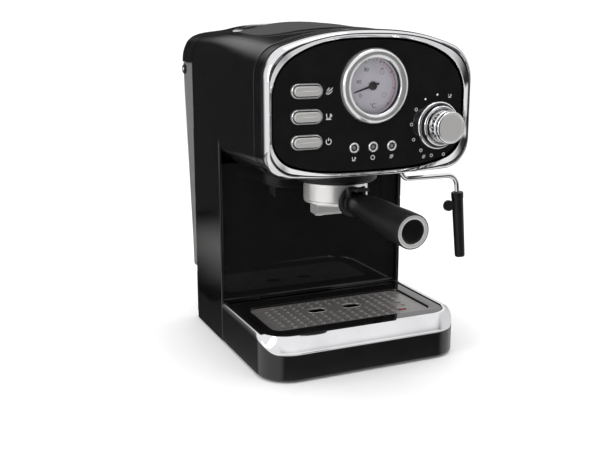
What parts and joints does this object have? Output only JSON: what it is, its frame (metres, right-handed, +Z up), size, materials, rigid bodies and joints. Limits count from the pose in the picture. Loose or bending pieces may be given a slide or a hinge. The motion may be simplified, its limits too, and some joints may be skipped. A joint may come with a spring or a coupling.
{
  "type": "espresso machine",
  "caption": "Black retro pump espresso machine with chrome face ring, round thermometer, push buttons, steam knob, portafilter, swivelling steam wand, drip tray and lift-out rear water tank.",
  "frame": {"origin": "centre of the base's footprint, on the surface the feet stand on", "axes": "+Z up, the front with the handle towards -Y, +X to the machine's right-hand side as seen from the front"},
  "size_m": [0.232, 0.3085, 0.3114],
  "materials": {
    "gloss_black": "gloss",
    "satin_black": "satin",
    "panel_black": "mirror gloss",
    "chrome_trim": "polished",
    "drip_steel": "fine brushed",
    "screw_steel": "plain",
    "satin_silver": "satin",
    "cast_alloy": "cast",
    "cup_rest_grey": "satin",
    "dial_white": "printed",
    "lens_clear": "clear",
    "lamp_white": "gloss",
    "float_red": "gloss",
    "tank_clear": "smoked clear",
    "rubber_black": "matte",
    "gasket_rubber": "matte",
    "valve_brass": "machined",
    "copper_pipe": "drawn",
    "pump_grey": "plain",
    "hose_white": "plain",
    "board_green": "plain"
  },
  "bodies": {
    "machine_body": {"base_housing": "gloss_black", "base_plate": "satin_black", "feet": "rubber_black", "base_screws": "screw_steel", "chrome_band": "chrome_trim", "main_housing": "gloss_black", "column_panel": "panel_black", "rear_cover": "satin_black", "rear_screws": "screw_steel", "top_cover": "gloss_black", "cup_plate": "cup_rest_grey", "front_collar": "gloss_black", "front_bezel": "chrome_trim", "front_panel": "panel_black", "gauge_body": "satin_black", "gauge_dial": "dial_white", "gauge_lens": "lens_clear", "gauge_ring": "chrome_trim", "button_frames": "chrome_trim", "button_switches": "satin_black", "lamp_rings": "chrome_trim", "lamp_lenses": "lamp_white", "knob_ring": "chrome_trim", "steam_valve": "valve_brass", "wand_socket": "satin_black", "group_head": "satin_black", "group_gasket": "gasket_rubber", "shower_screen": "drip_steel", "shower_screw": "screw_steel", "boiler": "cast_alloy", "boiler_pipe": "copper_pipe", "pump": "pump_grey", "pump_hose": "hose_white", "control_board": "board_green", "tank_dock": "gloss_black", "cord_gland": "rubber_black"},
    "drip_tray_body": {"drip_tray": "gloss_black"},
    "drip_plate_body": {"drip_plate": "drip_steel"},
    "float_body": {"level_float": "float_red"},
    "needle_body": {"gauge_needle": "satin_black"},
    "steam_button_body": {"steam_button": "satin_silver"},
    "brew_button_body": {"brew_button": "satin_silver"},
    "power_button_body": {"power_button": "satin_silver"},
    "knob_body": {"steam_knob": "chrome_trim"},
    "wand_body": {"wand_tube": "chrome_trim"},
    "sleeve_body": {"froth_sleeve": "satin_black"},
    "portafilter": {"filter_holder": "satin_silver", "filter_basket": "drip_steel", "double_spout": "satin_silver", "handle_grip": "satin_black", "handle_ring": "chrome_trim", "handle_cap": "gloss_black"},
    "clip_body": {"basket_clip": "satin_black"},
    "tank_body": {"water_tank": "tank_clear", "lid_pin": "screw_steel"},
    "tank_lid_body": {"tank_lid": "gloss_black"},
    "tank_valve_body": {"tank_valve": "satin_silver"}
  },
  "joints": [
    {"name": "drip_tray_lift", "type": "slide", "parent": "machine_body", "child": "drip_tray_body", "axis": [0, 0, 1], "range_m": [0, 0.045]},
    {"name": "drip_plate_lift", "type": "slide", "parent": "drip_tray_body", "child": "drip_plate_body", "axis": [0, 0, 1], "range_m": [0, 0.03]},
    {"name": "float_rise", "type": "slide", "parent": "drip_tray_body", "child": "float_body", "axis": [0, 0, 1], "range_m": [0, 0.005]},
    {"name": "needle_turn", "type": "hinge", "parent": "machine_body", "child": "needle_body", "pos_m": [0.0015, -0.1006, 0.256], "axis": [0, 1, 0], "range_deg": [-30, 225]},
    {"name": "steam_button_press", "type": "slide", "parent": "machine_body", "child": "steam_button_body", "axis": [0, 1, 0], "range_m": [0, 0.0025], "stiffness_N_per_m": 300, "springref_m": -0.0005},
    {"name": "brew_button_press", "type": "slide", "parent": "machine_body", "child": "brew_button_body", "axis": [0, 1, 0], "range_m": [0, 0.0025], "stiffness_N_per_m": 300, "springref_m": -0.0005},
    {"name": "power_button_press", "type": "slide", "parent": "machine_body", "child": "power_button_body", "axis": [0, 1, 0], "range_m": [0, 0.0025], "stiffness_N_per_m": 300, "springref_m": -0.0005},
    {"name": "steam_knob_turn", "type": "hinge", "parent": "machine_body", "child": "knob_body", "pos_m": [0.0675, -0.109, 0.2195], "axis": [0, -1, 0], "range_deg": [0, 220]},
    {"name": "wand_swing", "type": "hinge", "parent": "machine_body", "child": "wand_body", "pos_m": [0.057, -0.059, 0.17], "axis": [0, 0, 1], "range_deg": [-75, 20]},
    {"name": "sleeve_pull", "type": "slide", "parent": "wand_body", "child": "sleeve_body", "axis": [0.0958, 0, -0.9954], "range_m": [0, 0.03]},
    {"name": "portafilter_turn", "type": "hinge", "parent": "machine_body", "child": "portafilter", "pos_m": [0, -0.0334, 0.15], "axis": [0, 0, 1], "range_deg": [-50, 0]},
    {"name": "basket_clip_flip", "type": "hinge", "parent": "portafilter", "child": "clip_body", "pos_m": [0, -0.0754, 0.162], "axis": [-1, 0, 0], "range_deg": [0, 40]},
    {"name": "tank_lift", "type": "slide", "parent": "machine_body", "child": "tank_body", "axis": [0, 0, 1], "range_m": [0, 0.12]},
    {"name": "tank_lid_open", "type": "hinge", "parent": "tank_body", "child": "tank_lid_body", "pos_m": [0, 0.134, 0.2729], "axis": [-1, 0, 0], "range_deg": [0, 95]},
    {"name": "tank_valve_lift", "type": "slide", "parent": "tank_body", "child": "tank_valve_body", "axis": [0, 0, 1], "range_m": [0, 0.003], "stiffness_N_per_m": 100, "springref_m": -0.0005}
  ]
}
